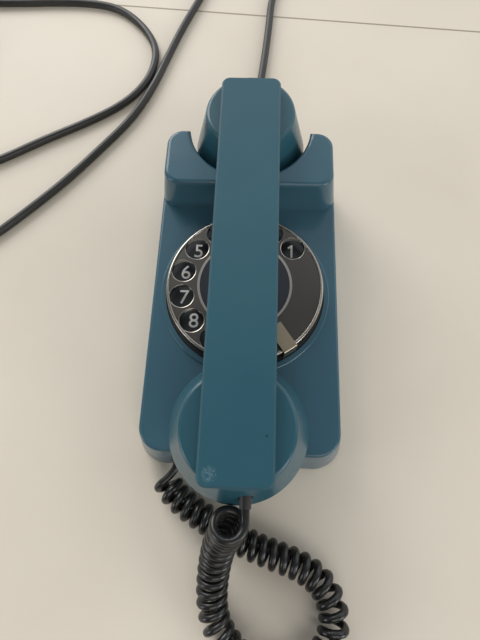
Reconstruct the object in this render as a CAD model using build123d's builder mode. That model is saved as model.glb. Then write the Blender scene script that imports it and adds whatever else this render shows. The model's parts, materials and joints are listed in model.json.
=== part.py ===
from build123d import *
import math
import os

# Compact dial telephone lying on its back: millimetres, +Z out of the wall, +Y towards the earpiece.
# The origin is under the middle of the handset, on the plane of the rubber feet.

# ---- driving dimensions -------------------------------------------------------------------------
wall = 2.5                  # moulded wall of the base
foot_height = 1.0           # rubber feet under the back plate
foot_width = 102.6          # base outline at the back
foot_near_margin = 14.15     # from the mouth cup's middle to the base's near edge, at the feet
foot_far_margin = 1.9        # from the ear cup's middle to the far edge
foot_corner = 15.0
block_top = 50.0            # top of the cradle block
crown_width = 84.6          # outline at the height of the cradle block's top
crown_near_margin = 5.15     # the same at the height of the cradle block's top
crown_far_inset = 3.5        # the ear cup's middle lies past the top's far edge
crown_corner = 8.0
deck_top = 27.5             # top face of the base round the dial
block_depth = 35.7          # from the ear cup's middle to the front wall of the cradle block
block_corner = 8.0
block_round = 2.2           # rounding along the top of the block
deck_round = 1.4
block_root = 2.0            # the block starts this far under the deck

mouth_y = -73.25            # middle of the mouth cup
cup_spacing = 153.75        # between the middles of the two cups
cutout_clearance = 2.0      # round the ear cup
cutout_shift = 0.5          # the cut-out's middle lies this far past the ear cup's

dial_y = -3.8               # middle of the dial
wheel_radius = 38.0
wheel_top = 37.0
wheel_thickness = 2.2
wheel_to_case = 1.4         # radial room between wheel and case wall
case_to_cover = 0.4
lip_width = 2.8             # raised ring round the dial opening
lip_height = 1.2
hole_count = 10
hole_circle = 31.0          # radius through the finger holes
hole_radius = 6.0
first_hole = 41.5           # direction of the hole over the 1, in degrees
hole_step = 25.2
stop_angle = -55.0
disc_radius = 21.8
shaft_radius = 2.5
running_gap = 0.05          # radial, shaft in bearing
sliding_gap = 0.15          # radial, plunger in the deck
seat_gap = 0.2              # between mating parts of the shell
plate_thickness = 2.5

handset_top = 66.0
bar_width = 29.1
bar_near_overhang = 22.75   # of the bar past the middle of the mouth cup
bar_far_overhang = 15.5
bar_corner = 4.0
cover_height = 6.0          # of the handset's top moulding
cover_bevel = 0.9
handle_depth = 10.0         # of the handle under the top moulding
shell_wall = 2.2
mouth_rim_radius = 29.7
mouth_rim_height = 43.6
mouth_foot = 41.5
mouth_shoulder_radius = 23.4
ear_rim_radius = 29.4
ear_rim_height = 33.6
ear_foot = 31.9
ear_shoulder_radius = 22.0
cup_seam = 0.3
cap_radius = 28.9
cap_face = 28.0
cap_wall = 2.4

plunger_travel = 4.0
plunger_inset = 7.25        # from the ear cup's middle, towards the dial
plunger_radius = 3.0

wire_diameter = 3.6         # handset cord
line_diameter = 5.0         # line cord
coil_gap = 0.6              # between turns of the put-away coil

# ---- values that follow -------------------------------------------------------------------------
ear_y = mouth_y + cup_spacing
foot_near = mouth_y - foot_near_margin
foot_far = ear_y + foot_far_margin
crown_near = mouth_y - crown_near_margin
crown_far = ear_y - crown_far_inset
block_front = ear_y - block_depth
bar_length = bar_near_overhang + cup_spacing + bar_far_overhang
bar_y = mouth_y - bar_near_overhang + bar_length / 2
plunger_y = ear_y - plunger_inset
deck_under = deck_top - wall
plate_low = foot_height
plate_top = plate_low + plate_thickness
cutout_radius = ear_rim_radius + cutout_clearance
cutout_y = ear_y + cutout_shift
case_radius = wheel_radius + wheel_to_case
case_wall = 2.4
opening_radius = case_radius + case_to_cover
case_low = plate_top + 4.5
case_top = deck_top + 1.5
case_deck = 2.5
number_thickness = 1.0
wheel_low = wheel_top - wheel_thickness
bar_low = handset_top - cover_height
handle_low = bar_low - handle_depth

os.makedirs("parts", exist_ok=True)
finished = []


def save(part, name):
    part.label = name
    export_step(part, f"parts/{name}.step")
    finished.append(part)


def polar(radius, degrees, centre=(0, 0)):
    angle = math.radians(degrees)
    return (centre[0] + radius * math.cos(angle), centre[1] + radius * math.sin(angle))


def hull_outline(z, inset):
    # Rounded outline of the base at a height: every side leans in towards the top.
    share = (z - foot_height) / (block_top - foot_height)
    width = foot_width + share * (crown_width - foot_width) - 2 * inset
    near = foot_near + share * (crown_near - foot_near) + inset
    far = foot_far + share * (crown_far - foot_far) - inset
    corner = foot_corner + share * (crown_corner - foot_corner) - inset
    with BuildSketch(Plane.XY.offset(z)) as outline:
        with Locations((0, (near + far) / 2)):
            RectangleRounded(width, far - near, corner)
    return outline.sketch


def near_wall_y(z):
    return foot_near + (z - foot_height) / (block_top - foot_height) * (crown_near - foot_near)


def far_wall_y(z):
    return foot_far + (z - foot_height) / (block_top - foot_height) * (crown_far - foot_far)


# ---- base shell ---------------------------------------------------------------------------------
boss_radius = 3.4
base_screw_radius = 1.4
boss_room = 8.4                  # from the base's side, at the feet, to the middle of a boss
front_boss_x = foot_width / 2 - boss_room - boss_radius
front_boss_y = foot_near + 7.0 + boss_radius
rear_boss_x = crown_width / 2 - 0.9 - boss_radius
rear_boss_y = foot_far - 10.0 - boss_radius
front_bosses = [(-front_boss_x, front_boss_y), (front_boss_x, front_boss_y)]
rear_bosses = [(-rear_boss_x, rear_boss_y), (rear_boss_x, rear_boss_y)]
base_screw_places = front_bosses + rear_bosses
dial_screw_circle = 43.5
dial_screw_radius = 1.2
dial_screw_depth = 1.5
dial_screw_places = [polar(dial_screw_circle, 45 + 90 * n, (0, dial_y)) for n in range(4)]
grommet_place = (21.8 - foot_width / 2, 13.0)    # x and z of the handset cord's way in
grommet_radius = 3.2
grommet_out = 1.6                # how far it stands out of the wall
gland_radius = 4.4
gland_height = plate_top + gland_radius + 0.3
gland_length = 20.0              # of its tapered part outside the wall

with BuildPart() as block_room:
    loft(sections=[hull_outline(deck_under - 1, wall), hull_outline(block_top - wall, wall)])
    with BuildSketch(Plane.XY.offset(deck_under - 2)):
        with Locations((0, block_front + wall)):
            Rectangle(2 * foot_width, 2 * foot_width, align=(Align.CENTER, Align.MAX))
    extrude(amount=block_top, mode=Mode.SUBTRACT)
    with Locations((0, cutout_y, 0)):
        Cylinder(cutout_radius + wall, 4 * block_top, mode=Mode.SUBTRACT)

with BuildPart() as cradle_block:
    loft(sections=[hull_outline(deck_top - block_root, 0), hull_outline(block_top, 0)])
    with BuildSketch(Plane.XY.offset(deck_top - block_root)):
        with Locations((0, block_front)):
            Rectangle(2 * foot_width, 2 * foot_width, align=(Align.CENTER, Align.MAX))
    extrude(amount=block_top, mode=Mode.SUBTRACT)
    front_corners = cradle_block.edges().filter_by(
        lambda e: abs(e.center().Y - block_front) < 0.01 and abs(e.center().X) > crown_width / 2 - 1
    )
    fillet(front_corners, block_corner)
    with Locations((0, cutout_y, deck_top)):
        Cylinder(cutout_radius, block_top, align=(Align.CENTER, Align.CENTER, Align.MIN), mode=Mode.SUBTRACT)
    fillet(cradle_block.edges().group_by(Axis.Z)[-1], block_round)

with BuildPart() as base_cover:
    loft(sections=[hull_outline(foot_height, 0), hull_outline(deck_top, 0)])
    fillet(base_cover.edges().group_by(Axis.Z)[-1], deck_round)
    add(cradle_block.part)
    loft(sections=[hull_outline(foot_height, wall), hull_outline(deck_under, wall)], mode=Mode.SUBTRACT)
    add(block_room.part, mode=Mode.SUBTRACT)
    with BuildSketch(Plane.XY.offset(plate_top)):
        with Locations(*front_bosses):
            Circle(boss_radius)
    extrude(amount=deck_under + 1 - plate_top)
    with BuildSketch(Plane.XY.offset(plate_top)):
        with Locations(*rear_bosses):
            Circle(boss_radius)
    extrude(amount=block_top - wall + 0.5 - plate_top)
    with BuildSketch(Plane.XY.offset(deck_top)):
        with Locations((0, dial_y)):
            Circle(opening_radius + lip_width)
    extrude(amount=lip_height)
    fillet(base_cover.edges().filter_by(GeomType.CIRCLE).filter_by(
        lambda e: abs(e.radius - opening_radius - lip_width) < 0.01 and e.center().Z > deck_top + 0.5), 0.8)
    with Locations((0, dial_y, deck_top)):
        Cylinder(opening_radius, 4 * wall, mode=Mode.SUBTRACT)
    with Locations(*[(x, y, plate_top) for x, y in base_screw_places]):
        Cylinder(base_screw_radius + running_gap, 12, align=(Align.CENTER, Align.CENTER, Align.MIN),
                 mode=Mode.SUBTRACT)
    with Locations(*[(x, y, deck_under) for x, y in dial_screw_places]):
        Cylinder(dial_screw_radius + running_gap, 2 * dial_screw_depth, mode=Mode.SUBTRACT)
    with Locations((0, plunger_y, deck_top)):
        Cylinder(plunger_radius + sliding_gap, 4 * wall, mode=Mode.SUBTRACT)
    with BuildSketch(Plane.XZ.offset(-near_wall_y(grommet_place[1]) - 12)):
        with Locations(grommet_place):
            Circle(grommet_radius + running_gap)
    extrude(amount=24, mode=Mode.SUBTRACT)
    with BuildSketch(Plane.XZ.offset(-far_wall_y(gland_height) - 12)):
        with Locations((0, gland_height)):
            Circle(gland_radius + running_gap)
    extrude(amount=24, mode=Mode.SUBTRACT)
save(base_cover.part, "base_cover")

# ---- back plate, feet and screws ----------------------------------------------------------------
slot_spacing_x = 60.0
slot_spacing_y = 76.0
slot_half_width = 2.4
slot_length = 11.0
board_y = foot_far - 22.4        # middle of the circuit board
board_width = 64.0
board_length = 28.0
standoff_x = board_width / 2 - 4
standoff_places = [(x, y) for y in (board_y - 11, board_y + 10) for x in (-standoff_x, standoff_x)]
standoff_height = 4.5
screw_head_radius = 2.9
screw_head_height = 1.4
foot_radius = 5.0
foot_x = foot_width / 2 - 14.3
foot_places = [(x, y) for y in (foot_near + 25.4, foot_far - 26.4) for x in (-foot_x, foot_x)]

with BuildPart() as base_plate:
    with BuildSketch(Plane.XY.offset(plate_low)):
        add(hull_outline(plate_top, wall + seat_gap).moved(Location((0, 0, -plate_top))))
    extrude(amount=plate_thickness)
    with BuildSketch(Plane.XY.offset(plate_top)):
        with Locations(*standoff_places):
            Circle(2.6)
    extrude(amount=standoff_height)
    with BuildSketch(Plane.XY.offset(plate_low)):
        with GridLocations(slot_spacing_x, slot_spacing_y, 2, 2):
            SlotOverall(slot_length, 2 * slot_half_width)
    extrude(amount=plate_thickness, mode=Mode.SUBTRACT)
    with Locations(*[(x, y, plate_low) for x, y in base_screw_places]):
        Cylinder(base_screw_radius + running_gap, 4 * plate_thickness, mode=Mode.SUBTRACT)
        Cylinder(screw_head_radius + running_gap, 2 * (screw_head_height + seat_gap), mode=Mode.SUBTRACT)
save(base_plate.part, "base_plate")

with BuildPart() as rubber_feet:
    with Locations(*[(x, y, 0) for x, y in foot_places]):
        Cylinder(foot_radius, foot_height, align=(Align.CENTER, Align.CENTER, Align.MIN))
save(rubber_feet.part, "rubber_feet")

with BuildPart() as base_screws:
    with Locations(*[(x, y, plate_low + seat_gap) for x, y in base_screw_places]):
        Cylinder(screw_head_radius, screw_head_height, align=(Align.CENTER, Align.CENTER, Align.MIN))
        Cylinder(base_screw_radius, 12, align=(Align.CENTER, Align.CENTER, Align.MIN))
        Box(3.4, 0.8, 0.8, align=(Align.CENTER, Align.CENTER, Align.CENTER), mode=Mode.SUBTRACT)
        Box(0.8, 3.4, 0.8, align=(Align.CENTER, Align.CENTER, Align.CENTER), mode=Mode.SUBTRACT)
save(base_screws.part, "base_screws")

# ---- dial ---------------------------------------------------------------------------------------
dial_place = Location((0, dial_y, 0))
flange_top = deck_under - seat_gap
flange_thickness = 2.2
bridge_thickness = 1.8
gear_module = 0.8
gear_teeth = 60
pinion_teeth = 12
gear_low = 16.0
gear_thickness = 2.0
mesh_room = 0.15
pinion_angle = 100.0
gear_spacing = gear_module * (gear_teeth + pinion_teeth) / 2 + mesh_room
pinion_place = polar(gear_spacing, pinion_angle, (0, dial_y))
arbor_radius = 1.5

with BuildPart() as dial_case:
    with Locations(Location((0, dial_y, case_low))):
        Cylinder(case_radius, case_top - case_low, align=(Align.CENTER, Align.CENTER, Align.MIN))
    with BuildSketch(Plane.XY.offset(flange_top - flange_thickness)):
        with Locations((0, dial_y)):
            Circle(opening_radius + lip_width)
        with Locations(*dial_screw_places):
            Circle(3.6)
    extrude(amount=flange_thickness)
    with Locations((0, dial_y, case_low)):
        Cylinder(case_radius - case_wall, case_top - case_deck - case_low,
                 align=(Align.CENTER, Align.CENTER, Align.MIN), mode=Mode.SUBTRACT)
    with Locations((0, dial_y, case_top)):
        Cylinder(shaft_radius + running_gap, 4 * case_deck, mode=Mode.SUBTRACT)
    with Locations(*[(x, y, flange_top) for x, y in dial_screw_places]):
        Cylinder(dial_screw_radius + running_gap, 4 * flange_thickness, mode=Mode.SUBTRACT)
save(dial_case.part, "dial_case")

with BuildPart() as dial_bridge:
    with Locations((0, dial_y, case_low)):
        Cylinder(case_radius - case_wall - running_gap, bridge_thickness,
                 align=(Align.CENTER, Align.CENTER, Align.MIN))
        Cylinder(shaft_radius + running_gap, 4 * bridge_thickness, mode=Mode.SUBTRACT)
    with Locations((*pinion_place, case_low)):
        Cylinder(arbor_radius + running_gap, 4 * bridge_thickness, mode=Mode.SUBTRACT)
save(dial_bridge.part, "dial_bridge")

with BuildPart() as dial_screws:
    with Locations(*[(x, y, flange_top - flange_thickness) for x, y in dial_screw_places]):
        Cylinder(2.3, 1.4, align=(Align.CENTER, Align.CENTER, Align.MAX))
        Cylinder(dial_screw_radius, flange_thickness + dial_screw_depth,
                 align=(Align.CENTER, Align.CENTER, Align.MIN))
save(dial_screws.part, "dial_screws")

with BuildPart() as number_plate:
    with BuildSketch(Plane.XY.offset(case_top)):
        with Locations((0, dial_y)):
            Circle(wheel_radius)
            Circle(8, mode=Mode.SUBTRACT)
    extrude(amount=number_thickness)
save(number_plate.part, "number_plate")

stop_width = 7.0
stop_thickness = 1.1
stop_inner = 25.5
stop_outer = case_radius
stop_low = wheel_top + 1.2
stop_plane = Plane((0, dial_y, 0), x_dir=(*polar(1, stop_angle), 0), z_dir=(*polar(1, stop_angle - 90), 0))
with BuildPart() as finger_stop:
    with BuildSketch(stop_plane.offset(-stop_width / 2)):
        with BuildLine():
            Polyline(
                (stop_outer, case_top), (stop_outer, stop_low + stop_thickness),
                (stop_inner, stop_low + stop_thickness), (stop_inner, stop_low),
                (stop_outer - stop_thickness + 0.2, stop_low), (stop_outer - stop_thickness + 0.2, case_top),
                close=True,
            )
        make_face()
    extrude(amount=stop_width)
    top_bend = finger_stop.edges().filter_by(Axis.Z, reverse=True).sort_by(
        lambda e: (e.center() - Vector(*polar(stop_outer, stop_angle, (0, dial_y)),
                                       stop_low + stop_thickness)).length)[0]
    fillet(top_bend, 0.8)
save(finger_stop.part, "finger_stop")

finger_holes = [polar(hole_circle, first_hole + hole_step * n, (0, dial_y)) for n in range(hole_count)]
with BuildPart() as finger_wheel:
    with BuildSketch(Plane.XY.offset(wheel_low)):
        with Locations((0, dial_y)):
            Circle(wheel_radius)
        with Locations(*finger_holes):
            Circle(hole_radius, mode=Mode.SUBTRACT)
    extrude(amount=wheel_thickness)
    with Locations((0, dial_y, case_top + number_thickness + 0.5)):
        Cylinder(7.4, wheel_low - case_top - number_thickness - 0.5,
                 align=(Align.CENTER, Align.CENTER, Align.MIN))
    with Locations((0, dial_y, wheel_top)):
        Cylinder(shaft_radius + running_gap, 8 * wheel_thickness + 4, mode=Mode.SUBTRACT)
save(finger_wheel.part, "finger_wheel")

ring_width = 1.2
disc_height = 1.0
with BuildPart() as wheel_ring:
    with BuildSketch(Plane.XY.offset(wheel_top)):
        with Locations((0, dial_y)):
            Circle(disc_radius + running_gap + ring_width)
            Circle(disc_radius + running_gap, mode=Mode.SUBTRACT)
    extrude(amount=disc_height)
save(wheel_ring.part, "wheel_ring")

with BuildPart() as wheel_disc:
    with BuildSketch(Plane.XY.offset(wheel_top)):
        with Locations((0, dial_y)):
            Circle(disc_radius)
    extrude(amount=disc_height)
save(wheel_disc.part, "wheel_disc")

with BuildPart() as dial_shaft:
    with Locations((0, dial_y, case_low + 0.2)):
        Cylinder(shaft_radius, wheel_top - 0.1 - case_low - 0.2, align=(Align.CENTER, Align.CENTER, Align.MIN))
save(dial_shaft.part, "dial_shaft")


def gear_sketch(teeth, centre, turn, z, bore):
    # Straight-sided teeth, thinned so that the pair turns with backlash.
    pitch_radius = gear_module * teeth / 2
    root_radius = pitch_radius - 1.25 * gear_module
    tooth_height = 2.2 * gear_module
    with BuildSketch(Plane.XY.offset(z)) as profile:
        with Locations(centre):
            Circle(root_radius)
            with PolarLocations(root_radius + tooth_height / 2 - 0.1, teeth, start_angle=turn):
                Trapezoid(0.58 * math.pi * gear_module, tooth_height, 68, rotation=-90)
            Circle(bore, mode=Mode.SUBTRACT)
    return profile.sketch


with BuildPart() as main_gear:
    add(gear_sketch(gear_teeth, (0, dial_y), pinion_angle, gear_low, shaft_radius + running_gap))
    extrude(amount=gear_thickness)
save(main_gear.part, "main_gear")

with BuildPart() as governor_pinion:
    add(gear_sketch(pinion_teeth, pinion_place, pinion_angle + 180 + 180 / pinion_teeth,
                    gear_low - 0.4, arbor_radius - 0.3))
    extrude(amount=gear_thickness + 0.8)
    with Locations((*pinion_place, case_low + 0.2)):
        Cylinder(arbor_radius, 17.5, align=(Align.CENTER, Align.CENTER, Align.MIN))
save(governor_pinion.part, "governor_pinion")

with BuildPart() as governor_weights:
    with BuildSketch(Plane.XY.offset(11.2)):
        with Locations(pinion_place):
            Circle(3.2)
            with PolarLocations(5.0, 2, start_angle=30):
                Rectangle(4.6, 5.2)
            Circle(arbor_radius + running_gap, mode=Mode.SUBTRACT)
    extrude(amount=3.6)
save(governor_weights.part, "governor_weights")

cam_low = gear_low + gear_thickness + 1.4
with BuildPart() as pulse_cam:
    with BuildSketch(Plane.XY.offset(cam_low)):
        with Locations(pinion_place):
            Circle(3.0)
            with PolarLocations(3.2, 3):
                Circle(1.2)
            Circle(arbor_radius + running_gap, mode=Mode.SUBTRACT)
    extrude(amount=2)
save(pulse_cam.part, "pulse_cam")

block_angle = pinion_angle + 26.0
blade_angle = pinion_angle + 17.5
blade_thickness = 0.5
blade_length = 7.0
with BuildPart() as pulse_contacts:
    with BuildSketch(Plane.XY.offset(cam_low - 0.5)):
        with Locations(Location((*polar(32.3, block_angle, (0, dial_y)), 0), (0, 0, block_angle))):
            Rectangle(5, 6)
    extrude(amount=case_top - case_deck - cam_low + 0.5)
    with BuildSketch(Plane.XY.offset(cam_low + 0.3)):
        with Locations(Location((*polar(31.5, blade_angle, (0, dial_y)), 0), (0, 0, blade_angle))):
            Rectangle(blade_thickness, blade_length)
            with Locations((1.8, 0)):
                Rectangle(blade_thickness, blade_length)
    extrude(amount=1.4)
save(pulse_contacts.part, "pulse_contacts")

with BuildPart() as return_spring:
    with BuildSketch(Plane.XY.offset(case_top - case_deck - 3.6)):
        with Locations((0, dial_y)):
            Circle(15)
            Circle(shaft_radius + 0.6, mode=Mode.SUBTRACT)
    extrude(amount=3.3)
save(return_spring.part, "return_spring")

# ---- circuit, hook switch -----------------------------------------------------------------------
board_low = plate_top + standoff_height
board_thickness = 1.6
board_top = board_low + board_thickness
with BuildPart() as circuit_board:
    with BuildSketch(Plane.XY.offset(board_low)):
        with Locations((0, board_y)):
            Rectangle(board_width, board_length)
        with Locations(*standoff_places):
            Circle(1.2, mode=Mode.SUBTRACT)
    extrude(amount=board_thickness)
save(circuit_board.part, "circuit_board")

terminal_y = board_y + 4
terminal_height = 7.5
with BuildPart() as terminal_block:
    with Locations((-20, terminal_y, board_top)):
        Box(16, 8, terminal_height, align=(Align.CENTER, Align.CENTER, Align.MIN))
    with Locations((-20, terminal_y, board_top + terminal_height)):
        with GridLocations(4, 0, 4, 1):
            Cylinder(1.0 + running_gap, 6, mode=Mode.SUBTRACT)
save(terminal_block.part, "terminal_block")

with BuildPart() as terminal_screws:
    with Locations((-20, terminal_y, board_top + terminal_height)):
        with GridLocations(4, 0, 4, 1):
            Cylinder(1.6, 1.0, align=(Align.CENTER, Align.CENTER, Align.MIN))
            Cylinder(1.0, 2.8, align=(Align.CENTER, Align.CENTER, Align.MAX))
save(terminal_screws.part, "terminal_screws")

transformer_place = (20.0, board_y)
with BuildPart() as transformer_core:
    with BuildSketch(Plane.XZ.offset(-transformer_place[1] - 4)):
        with Locations((transformer_place[0], board_top + 6)):
            Rectangle(18, 12)
            with GridLocations(9, 0, 2, 1):
                Rectangle(4.5, 8, mode=Mode.SUBTRACT)
    extrude(amount=8)
save(transformer_core.part, "transformer_core")

with BuildPart() as transformer_winding:
    with BuildSketch(Plane.XY.offset(board_top + 2.2)):
        with Locations(transformer_place):
            RectangleRounded(13.1, 14, 2)
            Rectangle(4.9, 8.4, mode=Mode.SUBTRACT)
    extrude(amount=7.6)
save(transformer_winding.part, "transformer_winding")

capacitor_radius = 4.5
capacitor_length = 16.0
with BuildPart() as line_capacitor:
    with BuildSketch(Plane.YZ.offset(-28)):
        with Locations((board_y - 7, board_top + capacitor_radius + 0.1)):
            Circle(capacitor_radius)
    extrude(amount=capacitor_length)
save(line_capacitor.part, "line_capacitor")

hinge_y = plunger_y - 15.25
hinge_z = 18.4
hinge_radius = 1.0
with BuildPart() as hook_bracket:
    with Locations((0, hinge_y, board_top)):
        Box(15.4, 10, 1.2, align=(Align.CENTER, Align.CENTER, Align.MIN))
    with Locations((-6.95, hinge_y, board_top), (6.95, hinge_y, board_top)):
        Box(1.5, 10, hinge_z + 2 - board_top, align=(Align.CENTER, Align.CENTER, Align.MIN))
    with BuildSketch(Plane.YZ.offset(-12)):
        with Locations((hinge_y, hinge_z)):
            Circle(hinge_radius + 0.02)
    extrude(amount=24, mode=Mode.SUBTRACT)
save(hook_bracket.part, "hook_bracket")

with BuildPart() as hook_pin:
    with BuildSketch(Plane.YZ.offset(-8)):
        with Locations((hinge_y, hinge_z)):
            Circle(hinge_radius)
    extrude(amount=16)
save(hook_pin.part, "hook_pin")

plunger_collar = 1.2
plunger_low = deck_under - plunger_collar - plunger_travel - 0.3
lever_gap = 0.3
with BuildPart() as hook_lever:
    with BuildSketch(Plane.YZ.offset(-4)):
        with Locations((hinge_y, hinge_z)):
            Circle(2.2)
        with BuildLine():
            Polyline(
                (hinge_y, plunger_low - lever_gap), (plunger_y + 1.5, plunger_low - lever_gap),
                (plunger_y + 1.5, plunger_low - lever_gap - 1.2), (hinge_y, plunger_low - lever_gap - 1.6),
                close=True,
            )
        make_face()
        with Locations((hinge_y, hinge_z)):
            Circle(hinge_radius + running_gap, mode=Mode.SUBTRACT)
    extrude(amount=8)
save(hook_lever.part, "hook_lever")

with BuildPart() as hook_plunger:
    with Locations((0, plunger_y, plunger_low)):
        Cylinder(plunger_radius, cap_face - 0.4 - plunger_low, align=(Align.CENTER, Align.CENTER, Align.MIN))
        Cylinder(plunger_radius + 0.7, plunger_collar, align=(Align.CENTER, Align.CENTER, Align.MIN))
    fillet(hook_plunger.edges().group_by(Axis.Z)[-1], 0.6)
save(hook_plunger.part, "hook_plunger")

contact_y = hinge_y - 9
contact_block = 4.0
contact_blade = 0.4
blade_reach = 9.0
with BuildPart() as hook_contacts:
    with Locations((0, contact_y, board_top)):
        Box(10, contact_block, 6, align=(Align.CENTER, Align.CENTER, Align.MIN))
    with GridLocations(4.8, 0, 2, 1):
        with Locations((0, contact_y + contact_block / 2, board_top + 3.2)):
            Box(2, blade_reach, contact_blade, align=(Align.CENTER, Align.MIN, Align.MIN))
        with Locations((0, contact_y + contact_block / 2, board_top + 4.6)):
            Box(2, blade_reach - 2, contact_blade, align=(Align.CENTER, Align.MIN, Align.MIN))
save(hook_contacts.part, "hook_contacts")

# ---- ringer -------------------------------------------------------------------------------------
gong_x = 21.8
gong_radius = 16.5
gong_y = foot_near + gong_radius + 6.9
gong_top = 20.0
gong_height = 9.5
gong_wall = 1.2
bracket_thickness = 1.5
bracket_top = plate_top + bracket_thickness
clapper_y = gong_y + 16
bobbin_far = gong_y + 8          # the two cheeks that hold the core
bobbin_near = gong_y - 14.5
cheek_thickness = 1.5
core_radius = 1.5
core_z = bracket_top + 3.8
ball_radius = 3.0
arm_height = 16.0
with BuildPart() as ringer_bracket:
    with BuildSketch(Plane.XY.offset(plate_top)):
        with Locations((0, gong_y + 1)):
            RectangleRounded(2 * gong_x + 10.4, 2 * gong_radius + 1, 4)
        with Locations((0, clapper_y + 1)):
            Rectangle(12, 6)
    extrude(amount=bracket_thickness)
    with Locations((-gong_x, gong_y, bracket_top), (gong_x, gong_y, bracket_top)):
        Cylinder(3.2, gong_top - gong_wall - bracket_top, align=(Align.CENTER, Align.CENTER, Align.MIN))
    with Locations((-gong_x, gong_y, gong_top), (gong_x, gong_y, gong_top)):
        Cylinder(1.5 + running_gap, 16, mode=Mode.SUBTRACT)
    with Locations((0, bobbin_far, bracket_top), (0, bobbin_near, bracket_top)):
        Box(7, cheek_thickness, 6.5, align=(Align.CENTER, Align.CENTER, Align.MIN))
    with BuildSketch(Plane.XZ.offset(-bobbin_near + 5)):
        with Locations((0, core_z)):
            Circle(core_radius + running_gap)
    extrude(amount=bobbin_near - bobbin_far - 10, mode=Mode.SUBTRACT)
save(ringer_bracket.part, "ringer_bracket")

with BuildPart() as ringer_core:
    with BuildSketch(Plane.XZ.offset(-bobbin_near + 1.5)):
        with Locations((0, core_z)):
            Circle(core_radius)
    extrude(amount=bobbin_near - bobbin_far - 2.5)
save(ringer_core.part, "ringer_core")

with BuildPart() as ringer_winding:
    with BuildSketch(Plane.XZ.offset(-bobbin_near - cheek_thickness / 2 - 0.35)):
        with Locations((0, core_z)):
            RectangleRounded(8.4, 7.0, 2)
            Circle(core_radius + running_gap, mode=Mode.SUBTRACT)
    extrude(amount=bobbin_near - bobbin_far + cheek_thickness + 0.7)
save(ringer_winding.part, "ringer_winding")

with BuildPart() as ringer_gongs:
    with Locations((-gong_x, gong_y, gong_top), (gong_x, gong_y, gong_top)):
        Cylinder(gong_radius, gong_height, align=(Align.CENTER, Align.CENTER, Align.MAX))
    fillet(ringer_gongs.edges().group_by(Axis.Z)[-1], 3.0)
    with Locations((-gong_x, gong_y, gong_top - gong_wall), (gong_x, gong_y, gong_top - gong_wall)):
        Cylinder(gong_radius - gong_wall, gong_height, align=(Align.CENTER, Align.CENTER, Align.MAX),
                 mode=Mode.SUBTRACT)
    with Locations((-gong_x, gong_y, gong_top), (gong_x, gong_y, gong_top)):
        Cylinder(1.5 + running_gap, 8, mode=Mode.SUBTRACT)
save(ringer_gongs.part, "ringer_gongs")

with BuildPart() as gong_screws:
    with Locations((-gong_x, gong_y, gong_top), (gong_x, gong_y, gong_top)):
        Cylinder(3.2, 1.6, align=(Align.CENTER, Align.CENTER, Align.MIN))
        Cylinder(1.5, 7.5, align=(Align.CENTER, Align.CENTER, Align.MAX))
save(gong_screws.part, "gong_screws")

with BuildPart() as clapper_pin:
    with Locations((0, clapper_y, bracket_top)):
        Cylinder(1.25, arm_height + 2.2 - bracket_top, align=(Align.CENTER, Align.CENTER, Align.MIN))
save(clapper_pin.part, "clapper_pin")

with BuildPart() as clapper:
    with Locations((0, clapper_y, arm_height)):
        Cylinder(3.0, 2.8)
    with Locations((0, (clapper_y + gong_y) / 2, arm_height)):
        Box(2.0, clapper_y - gong_y, 1.2)
    with Locations((0, gong_y, arm_height)):
        Sphere(ball_radius)
    with Locations((0, clapper_y, arm_height)):
        Cylinder(1.25 + running_gap, 10, mode=Mode.SUBTRACT)
save(clapper.part, "clapper")

# ---- handset ------------------------------------------------------------------------------------
relief_place = (4.0, 51.2)       # x and z of the cord's way out of the mouth cup
relief_radius = 2.9
relief_out = 0.55                # how far it stands out past the cup's rim
relief_face = mouth_y - mouth_rim_radius - relief_out
relief_length = 13.3
cup_under = bar_low - shell_wall


def cup_solid(y, rim_radius, rim_height, foot, shoulder_radius, inset):
    # A cup turned about its upright axis; with an inset, the room inside its wall.
    rim = rim_radius - inset
    shoulder = shoulder_radius - inset
    top = bar_low - inset
    with BuildPart() as cup:
        with BuildSketch(Plane.XZ) as half:
            with BuildLine():
                Polyline((0, foot), (rim, foot), (rim, rim_height), (shoulder, top), (0, top), close=True)
            make_face()
            if inset == 0:
                fillet(half.vertices().sort_by(lambda v: v.X + v.Y)[-1], 2.0)
                fillet(half.vertices().filter_by(lambda v: abs(v.X - rim) < 0.01 and v.Y > foot + 1), 1.0)
        revolve(axis=Axis.Z)
    return cup.part.moved(Location((0, y, 0)))


mouth_cup = (mouth_y, mouth_rim_radius, mouth_rim_height, mouth_foot, mouth_shoulder_radius)
ear_cup = (ear_y, ear_rim_radius, ear_rim_height, ear_foot, ear_shoulder_radius)
cup_middles = [(0, mouth_y), (0, ear_y)]
pocket_near = mouth_y + mouth_shoulder_radius + 1
pocket_far = ear_y - ear_shoulder_radius - 3

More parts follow.
